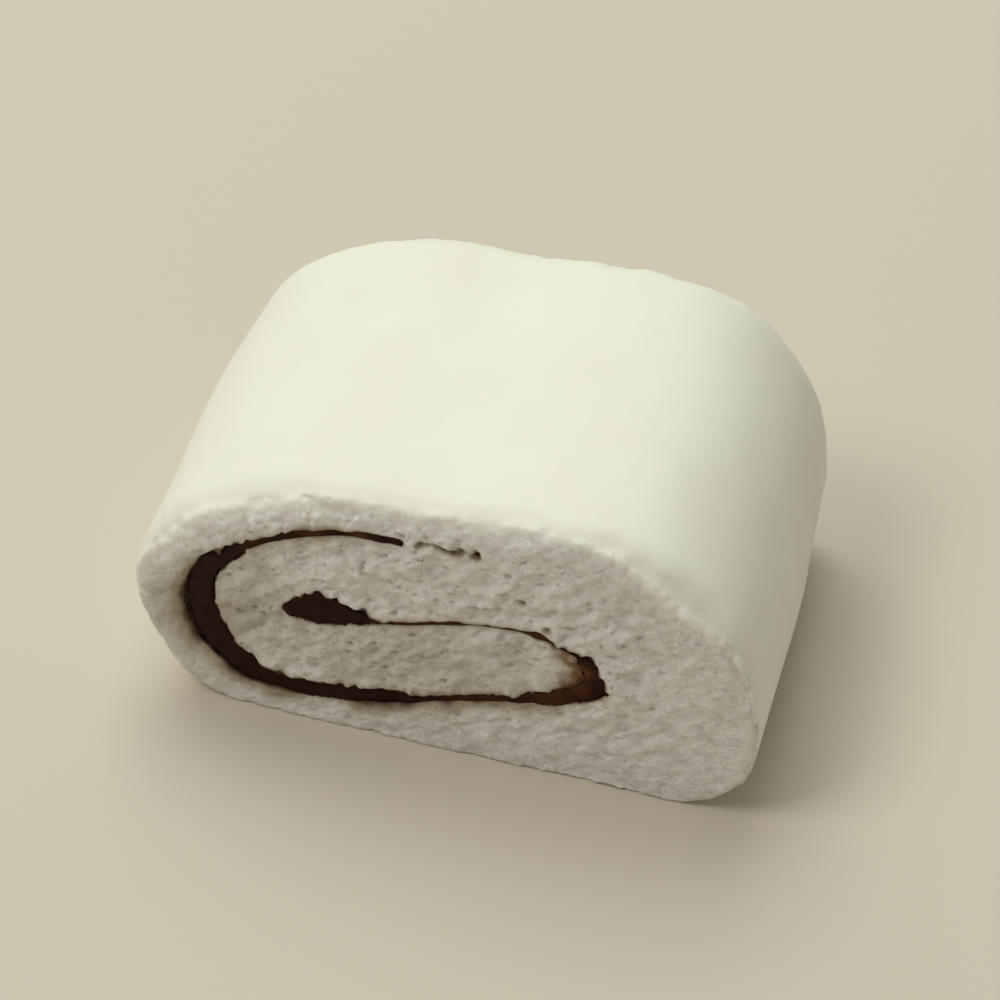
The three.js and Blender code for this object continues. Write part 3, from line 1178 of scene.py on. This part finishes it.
@dataclass(frozen=True)
class SlotEdge:
    """How the slot's edge strays from the paste's own, with heights and sizes in millimetres."""

    growth: tuple[float, float] = (-0.13, 0.12)  # added to the half width of thin and thick paste
    growth_span: tuple[float, float] = (0.3, 0.65)  # half widths over which thin turns to thick
    ragged: float = 0.3  # how far the torn edge wanders
    ragged_size: float = 2.2
    calm_half: float = 0.7  # the half width below which it wanders less
    teeth: Waves = Waves(1.0, 1.3, 25)
    tooth_level: float = 0.3  # the noise above which the crumb has a tooth
    tooth_length: float = 0.3
    tooth_span: tuple[float, float] = (-0.2, 0.6)  # upward slope over which teeth grow
    specks: Waves = Waves(0.2, 0.75, 26)  # crumbs that reach over thin paste
    speck_span: tuple[float, float] = (0.3, 0.55)  # half widths over which they end
    pinch_limit: float = 0.7  # share of the half width that the crumb may take
    # Where the knife left the edge smooth.
    calm: tuple[Spot, ...] = (Spot(2.0, 8.0, 9.0, 0.7), Spot(-5.0, 28.6, 3.5, 0.8))
    # Where the paste reaches further into the crumb, or less far.
    snags: tuple[Spot, ...] = (
        Spot(17.6, 13.8, 0.8, 1.0),
        Spot(-12.9, 18.6, 1.3, 0.45),
        Spot(-12.5, 14.2, 2.5, 0.35),
        Spot(-22.6, 6.4, 1.3, 0.7),
        Spot(-6.0, 5.2, 3.5, 0.35),
        Spot(-23.5, 21.7, 0.8, -0.5),
        Spot(-21.5, 23.5, 0.7, -0.3),
        Spot(6.9, 20.0, 1.4, -0.14),
        Spot(10.6, 19.8, 0.7, 0.25),
        Spot(12.4, 18.9, 0.6, 0.3),
    )

    def half(self, line: Array) -> Array:
        """Half the slot's width: less than the paste's where that is thin, and more where thick."""
        thin, thick = self.growth
        half = line[:, 2] / 2
        return half + thin + (thick - thin) * smoothstep(*self.growth_span, half)

    def moved(self, places: Array, half: Array, slope: Array) -> Array:
        """How far the slot's wall lies outside its even form.

        It wanders by noise, less where the slot is narrow or the knife left it smooth. Teeth hang
        over the paste where the wall faces up, fine specks of crumb reach over thin paste, and
        the snags are added.

        Args:
            places: The wall's points, with x and z in the flat section and the depth last.
            half: Half the slot's width at each.
            slope: How far up the wall's outward normal points at each, from -1 to 1.

        Returns:
            Distances in millimetres, no less than the crumb may take.
        """
        flat = places[..., :2]
        wander = self.ragged * rough_noise(places, self.ragged_size, 2, 21)
        wander = wander * np.minimum(1.0, half / self.calm_half)
        teeth = self.tooth_length * np.maximum(self.teeth.at(places) - self.tooth_level, 0)
        teeth = teeth * smoothstep(*self.tooth_span, slope)
        moved = (wander - teeth) * (1 - spots_at(self.calm, flat)) + spots_at(self.snags, flat)
        specks = self.specks.at(places) * (1 - smoothstep(*self.speck_span, half))
        return np.maximum(moved + specks, -self.pinch_limit * half)


# --------------------------------------------------------------------------------------------------
# The sponge
# --------------------------------------------------------------------------------------------------


@dataclass(frozen=True)
class Stretch:
    """One stretch of the sponge's surface before its relief, one entry for each point."""

    flat: Array  # x and z in the flat section
    along: Array  # 0 at the front cut and 1 at the back one
    turn: Array  # degrees round the cut's edge: 0 on the cut and 90 on the skin

    def flattened(self) -> "Stretch":
        """The same stretch with its points in one row."""
        return Stretch(self.flat.reshape(-1, 2), self.along.ravel(), self.turn.ravel())


@dataclass
class Sponge:
    """The rolled sheet of sponge: its skin, both cuts' crumb, and the slot that the paste fills."""

    form: RollForm
    edge: CutEdge
    shift: Array
    slot: SlotEdge = SlotEdge()
    skin_relief: SkinRelief = SkinRelief()
    crumb_relief: CrumbRelief = CrumbRelief()
    tears: Tears = Tears()
    stain: PasteStainAndShade = PasteStainAndShade()
    rim: TornRim = TornRim()
    skin_spacing: float = 0.5
    edge_rings: int = 7
    skin_rings: int = 44
    line_spacing: float = 0.25
    slot_spacing: float = 0.28
    slot_depths: tuple[float, ...] = (0.0, 0.5, 1.1, 2.0, 5.0)  # mm behind a cut
    fold_limit: float = 0.04  # how far a ring may reach back over the paste
    crumb_spacings: tuple[float, float] = (0.22, 0.3)  # mm between points on the front and back cuts
    crumb_seeds: tuple[int, int] = (5, 6)
    thick_from: float = 1.1  # the thickness above which paste soaks strongly
    thin_span: tuple[float, float] = (0.5, 2.0)  # mm from thick paste over which paste counts as thin
    thin_reach: float = 0.55  # mm from thin paste over which hollows are filled
    thin_hollow: float = 0.05  # the deepest hollow that is left there
    straight_span: tuple[float, float] = (0.2, 2.0)  # mm from thick paste over which the edge stands straight
    front_span: tuple[float, float] = (0.2, 0.3)  # shares of the length over which the front cut's marks end
    settled_span: tuple[float, float] = (0.3, 4.0)  # mm above the table over which the skin is pressed flat
    nick: Spot = Spot(17.3, 0.0, 1.3, 1.4)  # a crumb broken out of the front cut's foot
    nick_depth: float = 2.5  # mm behind the cut over which it closes
    line: Array = field(init=False, repr=False)
    outline: Array = field(init=False, repr=False)

    def __post_init__(self) -> None:
        """Works out the paste's line and the skin's outline once."""
        self.line = self.form.paste_line(self.line_spacing)
        self.outline = self.form.skin_line(self.skin_spacing)

    def paste_distance(self, flat: Array, lift: float = 0.0) -> Array:
        """The distance from flat points to the slot's edge, or to that of the slot lifted a little."""
        clear = distance_to(flat, self.line[:, :2] + (0.0, lift), self.slot.half(self.line))
        return clear - spots_at(self.slot.snags, flat)

    def heavy_distance(self, flat: Array) -> Array:
        """The distance from flat points to the slot where the paste in it is thick."""
        thick = self.line[self.line[:, 2] > self.thick_from]
        return np.maximum(distance_to(flat, thick[:, :2], self.slot.half(thick)), 0)

    def behind(self, flat: Array, cut: Cut) -> tuple[Array, Array]:
        """How deep behind a cut's plane its rounded edge lies, and its turn, at flat points."""
        size = self.edge.size(self.form, flat, cut)
        turn = self.edge.turn_at(distance_to(flat, self.outline), size)
        return self.edge.profile(turn, size)[1], turn

    def skin_stretch(self) -> Stretch:
        """The skin as rings round the section, from the front cut's rim to the back one's.

        The rings near a cut follow the rounded edge, and the others stand evenly between the two.
        Each is the outline moved in along its own normal.
        """
        normal = side_directions(self.outline, closed=True)
        turns = np.linspace(self.edge.rim_turn, 90.0, self.edge_rings)[:, None] * np.ones(len(self.outline))
        ends = {}
        for cut in Cut:
            inwards, depth = self.edge.profile(turns, self.edge.size(self.form, self.outline, cut))
            fading = np.exp(-depth / self.nick_depth)
            nicked = self.nick.at(self.outline) * fading if cut is Cut.FRONT else 0.0
            flat = self.outline - normal * inwards[..., None]
            flat[..., 1] = np.maximum(flat[..., 1], nicked)
            ends[cut] = (flat, cut.along(depth / self.form.length))
        (front, front_along), (back, back_along) = ends[Cut.FRONT], ends[Cut.BACK]
        share = np.linspace(0.0, 1.0, self.skin_rings)[1:-1, None]
        between = front_along[-1] + (back_along[-1] - front_along[-1]) * share
        flat = np.concatenate([front, np.broadcast_to(self.outline, (*between.shape, 2)), back[::-1]])
        along = np.concatenate([front_along, between, back_along[::-1]])
        turn = np.concatenate([turns, np.full(between.shape, 90.0), turns[::-1]])
        return Stretch(flat, along, turn)

    def slot_stretch(self) -> Stretch:
        """The slot's wall as rings round the paste, closer together near the cuts.

        A ring goes up one side of the paste's line, round the heart, down the other side and round
        the outer end. Where a tight bend folds it back over the paste, it is cut short. Then each
        point is moved along its own normal by the slot's straying.
        """
        line = self.form.paste_line(self.slot_spacing)
        half = self.slot.half(line)
        loop, widths = strip_loop(line, half)
        folded = distance_to(loop, line[:, :2], half) < -self.fold_limit
        ring = evenly(np.column_stack([loop, widths])[~folded], self.slot_spacing, closed=True)
        loop, widths = softened(ring[:, :2], 3), ring[:, 2]
        normal = side_directions(loop, closed=True)
        depths = np.array(self.slot_depths)
        along = np.concatenate([depths / self.form.length, 1 - depths[::-1] / self.form.length])
        flat = np.broadcast_to(loop, (len(along), *loop.shape))
        deep = np.broadcast_to((along * self.form.length)[:, None, None], (*flat.shape[:2], 1))
        moved = self.slot.moved(np.concatenate([flat, deep], axis=-1), widths, normal[:, 1])
        flat = softened(flat + normal * moved[..., None], 1)
        along = along[:, None] * np.ones(len(loop))
        for ring, cut in ((0, Cut.FRONT), (-1, Cut.BACK)):
            along[ring] = cut.along(self.behind(flat[ring], cut)[0] / self.form.length)
        return Stretch(flat, along, np.zeros(along.shape))

    def crumb_stretch(self, cut: Cut, outer: Array, slot: Array) -> Stretch:
        """Scattered points that fill a cut between the skin and the slot.

        They stand on an even triangular grid, whose rows are sqrt(3/4) of a step apart, each moved
        by up to a third of a step at random, and those within half a step of an edge are left out.

        Args:
            cut: Which cut it is.
            outer: The skin's ring at the cut.
            slot: The slot's ring at the cut.

        Returns:
            The points, set back over the cut's rounded edge.
        """
        step, seed = cut.pick(self.crumb_spacings), cut.pick(self.crumb_seeds)
        low, high = outer.min(0), outer.max(0)
        rows = np.arange(low[1], high[1], step * math.sqrt(0.75))
        x, z = np.meshgrid(np.arange(low[0], high[0], step), rows)
        x = x + (np.arange(len(rows)) % 2)[:, None] * step / 2
        points = np.stack([x.ravel(), z.ravel()], axis=1)
        points += np.random.default_rng(seed).uniform(-step / 3, step / 3, points.shape)
        points = points[inside(points, outer) & ~inside(points, slot)]
        edges = np.vstack([(ring + np.roll(ring, k, axis=0)) / 2 for ring in (outer, slot) for k in (0, 1)])
        points = points[distance_to(points, edges) > step / 2]
        depth, turn = self.behind(points, cut)
        return Stretch(points, cut.along(depth / self.form.length), turn)

    @staticmethod
    def cut_triangles(cut: Cut, outer: Array, slot: Array, points: Array) -> Array:
        """Joins a cut's points by Delaunay triangles that keep to the skin and the slot.

        Args:
            cut: Which cut it is.
            outer: The skin's ring at the cut.
            slot: The slot's ring at the cut.
            points: The crumb's points.

        Returns:
            Three numbers a row, facing out of the cake, counting the outer ring first, then the
            slot's ring, then the points.
        """
        every = np.vstack([outer, slot, points])
        rings = [np.arange(len(outer)), len(outer) + np.arange(len(slot))]
        edges = np.vstack([np.stack([ring, np.roll(ring, -1)], axis=1) for ring in rings])
        made = delaunay_2d_cdt([Vector(point) for point in every.tolist()], edges.tolist(), [], 0, 1e-6)
        if len(made[0]) != len(every):
            raise ValueError(f"the cut's outline crosses itself: {len(made[0])} points for {len(every)}")
        origin = np.array([sources[0] for sources in made[3]])
        triangles = origin[np.array(made[2])]
        middles = every[triangles].mean(axis=1)
        triangles = triangles[inside(middles, outer) & ~inside(middles, slot)]
        a, b, c = (every[triangles[:, k]] for k in range(3))
        area = (b[:, 0] - a[:, 0]) * (c[:, 1] - a[:, 1]) - (b[:, 1] - a[:, 1]) * (c[:, 0] - a[:, 0])
        wanted = area > 0 if cut is Cut.FRONT else area < 0
        return np.where(wanted[:, None], triangles, triangles[:, ::-1])

    def joined(self) -> tuple[Stretch, Array, Array]:
        """Joins the skin, the slot's wall and both cuts' crumb into one closed surface.

        Returns:
            All points as one stretch, three vertex numbers for each triangle, and the numbers of
            the slot's points, one row for each ring.
        """
        skin, slot = self.skin_stretch(), self.slot_stretch()
        stretches = [skin.flattened(), slot.flattened()]
        skin_ids = np.arange(skin.along.size).reshape(skin.along.shape)
        slot_ids = skin_ids.size + np.arange(slot.along.size).reshape(slot.along.shape)
        skin_quads = grid_quads(skin_ids, closed=True)[:, ::-1]
        triangles = [halved(skin_quads), halved(grid_quads(slot_ids, closed=True))]
        count = skin_ids.size + slot_ids.size
        for cut, ring in ((Cut.FRONT, 0), (Cut.BACK, -1)):
            outer, hole = skin.flat[ring], slot.flat[ring]
            crumb = self.crumb_stretch(cut, outer, hole)
            ids = np.concatenate([skin_ids[ring], slot_ids[ring], count + np.arange(len(crumb.flat))])
            triangles.append(ids[self.cut_triangles(cut, outer, hole, crumb.flat)])
            stretches.append(crumb)
            count += len(crumb.flat)
        names = ("flat", "along", "turn")
        every = Stretch(*(np.concatenate([getattr(part, name) for part in stretches]) for name in names))
        return every, np.vstack(triangles), slot_ids

    def build(self) -> bpy.types.Object:
        """Builds the sponge as one closed mesh, whose points stand out along their own normals.

        Crumb has the crumb's relief less its tears, skin has the skin's, and the rim between them is
        added. Beside thin paste the crumb's edge moves along the roll only and its hollows are
        filled, so that the slot stays narrow and the paste doesn't stand out of the crumb.
        """
        every, faces, slot_ids = self.joined()
        flat, along, turn = every.flat, every.along, every.turn
        points = self.form.place(flat, along)
        normals = outward_normals(points, faces)
        hidden = np.zeros(len(points), dtype=bool)
        hidden[slot_ids[1:-1].ravel()] = True
        gap = self.paste_distance(flat)
        gap[slot_ids.ravel()] = 0.0
        heavy = self.heavy_distance(flat)
        ends = slot_ids[[0, -1]].ravel()
        along_roll = np.repeat([[0.0, -1.0, 0.0], [0.0, 1.0, 0.0]], slot_ids.shape[1], axis=0)
        straight = smoothstep(*self.straight_span, heavy[ends])[:, None]
        normals[ends] += (along_roll - normals[ends]) * straight

        front = 1.0 - smoothstep(*self.front_span, along)
        drawn = self.edge.drawn(flat, Cut.FRONT) * front
        turn = turn + self.edge.shoulder_turn * drawn
        crumb = self.rim.crumb(turn, points)
        above = self.paste_distance(flat, self.crumb_relief.overhang)
        opened, bubbles = self.crumb_relief.at(points, self.form.near_skin(flat), gap, above, heavy)
        torn = self.tears.at(flat + self.tears.fraying.moves(points, 2)) * front
        opened = opened - self.tears.depth * torn
        # The bubbles and tears get painted shade.
        pits = np.clip(self.crumb_relief.bubble_shade * bubbles + torn, 0.0, 1.0)
        beside_thin = bell(np.maximum(gap, 0), self.thin_reach) * smoothstep(*self.thin_span, heavy)
        opened += beside_thin * np.maximum(0.0, -self.thin_hollow - opened)

        clear = smoothstep(*self.settled_span, points[:, 2])
        rim = self.rim.strength(turn, points)
        both, at_front, at_shoulders = self.rim.height_shares
        ridge = self.rim.height * rim * (both + at_front * front + at_shoulders * drawn)
        height = crumb * opened + (1 - crumb) * self.skin_relief.at(points) * clear + ridge * clear
        points = points + normals * np.where(hidden, 0.0, height)[:, None]
        points[:, 2] = np.maximum(points[:, 2], 0.0)

        # Brown from the paste, with painted shade in the tears and on the shade spots.
        brown = self.stain.brown(points, flat, gap, heavy, self.tears.at(flat) * front) * crumb
        syrup = self.stain.syrup(points, flat, gap)
        wall = self.stain.wall - self.stain.syrup_clears * np.clip(syrup, 0.0, 1.0)
        return make_mesh(
            "sponge_roll",
            points + self.shift,
            faces,
            crumb=crumb,
            stain=np.clip(np.where(hidden, wall, brown), 0.0, 1.0),
            syrup=np.clip(syrup * crumb, 0.0, 1.0),
            pit=pits * crumb,
            # The rim attribute is a painted highlight along the torn rim.
            rim=np.clip(rim * clear * (self.rim.highlight_share + drawn), 0.0, 1.0),
        )

    def dress(self, piece: bpy.types.Object) -> None:
        """Gives the sponge its finish and its body, and hides the imported part that it stands for."""
        piece.data.materials.append(SteamedSponge().material())
        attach(piece, BODY)
        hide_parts("sponge")


def strip_loop(line: Array, half: Array, cap_steps: int = 6) -> tuple[Array, Array]:
    """The closed outline of a strip of varying thickness, with round ends.

    It goes along the right side of the line, half round its end, back along the left side, and
    half round its start.

    Args:
        line: The strip's middle line.
        half: Half the strip's width at each of its points.
        cap_steps: How many steps each round end has.

    Returns:
        The outline's points, and the strip's half width at each one.
    """
    right = side_directions(line[:, :2], closed=False)
    turn = np.pi * np.arange(1, cap_steps)[:, None] / cap_steps
    caps = []
    for end, sign in ((-1, 1.0), (0, -1.0)):
        side, ahead = right[end] * sign, np.array([-right[end][1], right[end][0]]) * sign
        caps.append(line[end, :2] + half[end] * (np.cos(turn) * side + np.sin(turn) * ahead))
    sides = right * half[:, None]
    loop = np.vstack([line[:, :2] + sides, caps[0], (line[:, :2] - sides)[::-1], caps[1]])
    at_end, at_start = np.full(len(caps[0]), half[-1]), np.full(len(caps[1]), half[0])
    return loop, np.concatenate([half, at_end, half[::-1], at_start])


# --------------------------------------------------------------------------------------------------
# The paste
# --------------------------------------------------------------------------------------------------


@dataclass
class Paste:
    """The layer of sweet paste, which fills the slot from cut to cut."""

    form: RollForm
    sponge: Sponge
    shift: Array
    spacing: float = 0.33
    across: int = 15
    stations: int = 16
    cap_rows: int = 5
    closing: float = 0.97  # share of a quarter turn over which an end closes
    wall_reach: float = 0.6  # how far the layer goes into the sponge beside it
    recess: float = 0.12  # how far its cut lies below the crumb
    waves: tuple[tuple[float, float], ...] = ((0.1, 3.2), (0.12, 1.1))  # heights and sizes
    seeds: tuple[int, int] = (101, 111)
    tucked: float = 0.8  # how much deeper it lies inside the sponge beside it
    tuck_width: float = 0.5
    thin_below: float = 0.8  # the thickness below which the layer looks brown
    thin_brown: float = 0.2  # how brown it looks there
    thin_span: tuple[float, float] = (0.3, 1.2)  # how far from its middle that ends
    # Spots where the paste is so thin at the front cut that light shows through it.
    ambers: tuple[Spot, ...] = (
        Spot(15.2, 16.0, 0.9, 0.8),
        Spot(14.7, 13.6, 0.9, 0.35),
        Spot(-13.0, 27.4, 2.2, 0.22),
        Spot(-8.0, 28.6, 1.1, 0.35),
        Spot(-19.5, 24.2, 1.5, 0.15),
        Spot(11.5, 11.6, 2.5, 0.25),
        Spot(3.0, 8.8, 4.0, 0.15),
    )
    # Where the paste has sunk a little behind the cut.
    hollows: tuple[Spot, ...] = (
        Spot(-26.5, 14.0, 5.0, 0.2),
        Spot(-23.5, 7.0, 3.5, 0.15),
        Spot(16.0, 14.5, 2.0, 0.15),
    )

    def strip(self) -> tuple[Array, Array]:
        """The layer's section as a grid of lines across it.

        The line is carried on past both ends, and its half width closes there like a circle,
        r sqrt(1 - (distance / r)^2).

        Returns:
            Flat points, one row for each line across, and how far each one is past the paste's own
            edge, in millimetres.
        """
        line = self.form.paste_line(self.spacing)
        half = line[:, 2] / 2 + self.wall_reach
        right = side_directions(line[:, :2], closed=False)
        ahead = np.stack([-right[:, 1], right[:, 0]], axis=1)
        turn = np.linspace(0.0, 0.5 * np.pi * self.closing, self.cap_rows + 1)[1:]
        start = line[0, :2] - ahead[0] * half[0] * np.sin(turn[::-1])[:, None]
        end = line[-1, :2] + ahead[-1] * half[-1] * np.sin(turn)[:, None]
        middle = np.vstack([start, line[:, :2], end])
        width = np.concatenate([half[0] * np.cos(turn[::-1]), half, half[-1] * np.cos(turn)])
        side = np.vstack([np.repeat(right[:1], len(turn), 0), right, np.repeat(right[-1:], len(turn), 0)])
        share = np.linspace(-1.0, 1.0, self.across)
        flat = middle[:, None, :] + side[:, None, :] * (width[:, None] * share)[..., None]
        return flat, self.sponge.paste_distance(flat)

    def cut_depth(self, flat: Array, past: Array, cut: Cut) -> Array:
        """How far the paste's cut lies behind the cut's plane, in millimetres.

        It is an even recess with slow waves and hollows, and it goes deeper where the layer is
        inside the sponge beside it.
        """
        waves = layered(self.waves, flat, cut.pick(self.seeds))
        hidden = self.tucked * smoothstep(0.0, self.tuck_width, past)
        rounded, _ = self.sponge.behind(flat, cut)
        return self.recess + waves + spots_at(self.hollows, flat) + hidden + rounded

    def build(self) -> bpy.types.Object:
        """Builds the paste as one closed mesh: a wall round its section and a cut at each end."""
        flat, past = self.strip()
        rows, columns = flat.shape[:2]
        number = np.arange(rows * columns).reshape(rows, columns)
        rim = np.concatenate([number[:, -1], number[-1, -2:0:-1], number[::-1, 0], number[0, 1:-1]])
        cuts = []
        for cut in Cut:
            along = cut.along(self.cut_depth(flat, past, cut) / self.form.length)
            cuts.append(self.form.place(flat, along).reshape(-1, 3))
        loop = flat.reshape(-1, 2)[rim]
        inner = np.linspace(0.0, 1.0, self.stations)[1:-1, None] * np.ones(len(loop))
        walls = self.form.place(np.broadcast_to(loop, (*inner.shape, 2)), inner)
        size = rows * columns
        rings = np.vstack([rim, 2 * size + np.arange(inner.size).reshape(inner.shape), size + rim])
        front = grid_quads(number, closed=False)
        quads = np.vstack([front, size + front[:, ::-1], grid_quads(rings, closed=True)[:, ::-1]])
        points = np.vstack([*cuts, walls.reshape(-1, 3)]) + self.shift
        line = self.form.paste_line(self.spacing)
        thin = line[line[:, 2] < self.thin_below]
        near = distance_to(flat.reshape(-1, 2), thin[:, :2])
        brown = self.thin_brown * (1 - smoothstep(*self.thin_span, near))
        thinned = np.zeros(len(points))
        thinned[:size] = spots_at(self.ambers, flat.reshape(-1, 2)) + brown
        return make_mesh("paste_layer", points, quads, thinned=np.clip(thinned, 0.0, 1.0))

    def dress(self, piece: bpy.types.Object) -> None:
        """Gives the paste its finish and its body, and hides the imported part that it stands for."""
        piece.data.materials.append(SweetPaste().material())
        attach(piece, BODY)
        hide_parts("paste")


# --------------------------------------------------------------------------------------------------
# The studio
# --------------------------------------------------------------------------------------------------


@dataclass(frozen=True)
class SoftBox:
    """A square area light that points at the cake: its place, size, power and colour."""

    name: str
    azimuth: float  # degrees, 0 in front of the front cut and 90 off its right
    elevation: float  # degrees
    distance: float  # metres
    size: float  # metres
    power: float  # watts
    tint: str


def direction(azimuth: float, elevation: float) -> Vector:
    """The unit vector from the cake towards a bearing and a height above the table, in degrees."""
    a, e = math.radians(azimuth), math.radians(elevation)
    return Vector((math.sin(a) * math.cos(e), -math.cos(a) * math.cos(e), math.sin(e)))


@dataclass
class Studio:
    """A pale board, soft light and the camera."""

    board_size: float = 4.0  # metres
    camera_azimuth: float = 18.17  # degrees
    camera_elevation: float = 43.82  # degrees
    camera_distance: float = 0.491  # metres
    camera_roll: float = 4.23  # degrees that the camera leans to its right
    camera_lens: float = 170.3  # mm
    camera_range: tuple[float, float] = (0.01, 50.0)  # metres
    aim: tuple[float, float, float] = (0.0005, 0.0, 0.0156)  # metres
    air: str = "#f9f1e4"
    air_strength: float = 0.3
    lights: tuple[SoftBox, ...] = (
        SoftBox("key", 205.0, 62.0, 1.0, 0.8, 5.75, "#f8fff5"),
        SoftBox("fill", -55.0, 60.0, 1.1, 0.45, 3.4, "#fffaf2"),
    )

    def build(self) -> None:
        """Builds the board, the lights and the camera."""
        self._board()
        self._air()
        for light in self.lights:
            self._light(light)
        self._camera()

    def _board(self) -> None:
        """A large square board at the height of the table."""
        half = self.board_size / 2 / MM
        corners = np.array([(-half, -half, 0.0), (half, -half, 0.0), (half, half, 0.0), (-half, half, 0.0)])
        board = make_mesh("board", corners, np.array([[0, 1, 2, 3]]))
        board.data.materials.append(PaintedBoard().material())

    def _air(self) -> None:
        """An even pale surrounding that lights all sides a little."""
        world = bpy.data.worlds.new("pale_air")
        world.use_nodes = True
        background = world.node_tree.nodes["Background"]
        background.inputs["Color"].default_value = linear(self.air)
        background.inputs["Strength"].default_value = self.air_strength
        bpy.context.scene.world = world

    def _light(self, light: SoftBox) -> None:
        """One soft box, turned to the cake."""
        data = bpy.data.lights.new(light.name, "AREA")
        data.shape, data.size, data.energy = "SQUARE", light.size, light.power
        data.color = linear(light.tint)[:3]
        lamp = bpy.data.objects.new(light.name, data)
        towards = direction(light.azimuth, light.elevation)
        lamp.location = Vector(self.aim) + towards * light.distance
        lamp.rotation_euler = towards.to_track_quat("Z", "Y").to_euler()
        bpy.context.scene.collection.objects.link(lamp)

    def _camera(self) -> None:
        """The camera, aimed at the cake and leaning a little to its right."""
        data = bpy.data.cameras.new("camera")
        data.lens = self.camera_lens
        data.clip_start, data.clip_end = self.camera_range
        camera = bpy.data.objects.new("camera", data)
        back = direction(self.camera_azimuth, self.camera_elevation)
        lean = Matrix.Rotation(math.radians(-self.camera_roll), 3, "Z")
        camera.rotation_euler = (back.to_track_quat("Z", "Y").to_matrix() @ lean).to_euler()
        camera.location = Vector(self.aim) + back * self.camera_distance
        bpy.context.scene.collection.objects.link(camera)
        bpy.context.scene.camera = camera
        bpy.context.scene.view_settings.view_transform = "Standard"


# --------------------------------------------------------------------------------------------------
# All of it
# --------------------------------------------------------------------------------------------------


def report(piece: bpy.types.Object) -> None:
    """Logs a piece's name, triangles and size."""
    triangles = sum(len(polygon.vertices) - 2 for polygon in piece.data.polygons)
    sizes = " x ".join(f"{edge / MM:.1f}" for edge in piece.dimensions)
    LOG.info("%s: %d triangles, %s mm", piece.name, triangles, sizes)


def main() -> None:
    """Builds the studio and the cake."""
    logging.basicConfig(level=logging.INFO, format="%(name)s: %(message)s")
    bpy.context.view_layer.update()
    Studio().build()
    form = RollForm()
    shift = form.middle("sponge")
    sponge = Sponge(form, CutEdge(), shift)
    for part in (sponge, Paste(form, sponge, shift)):
        piece = part.build()
        part.dress(piece)
        report(piece)


if __name__ == "__main__":
    main()
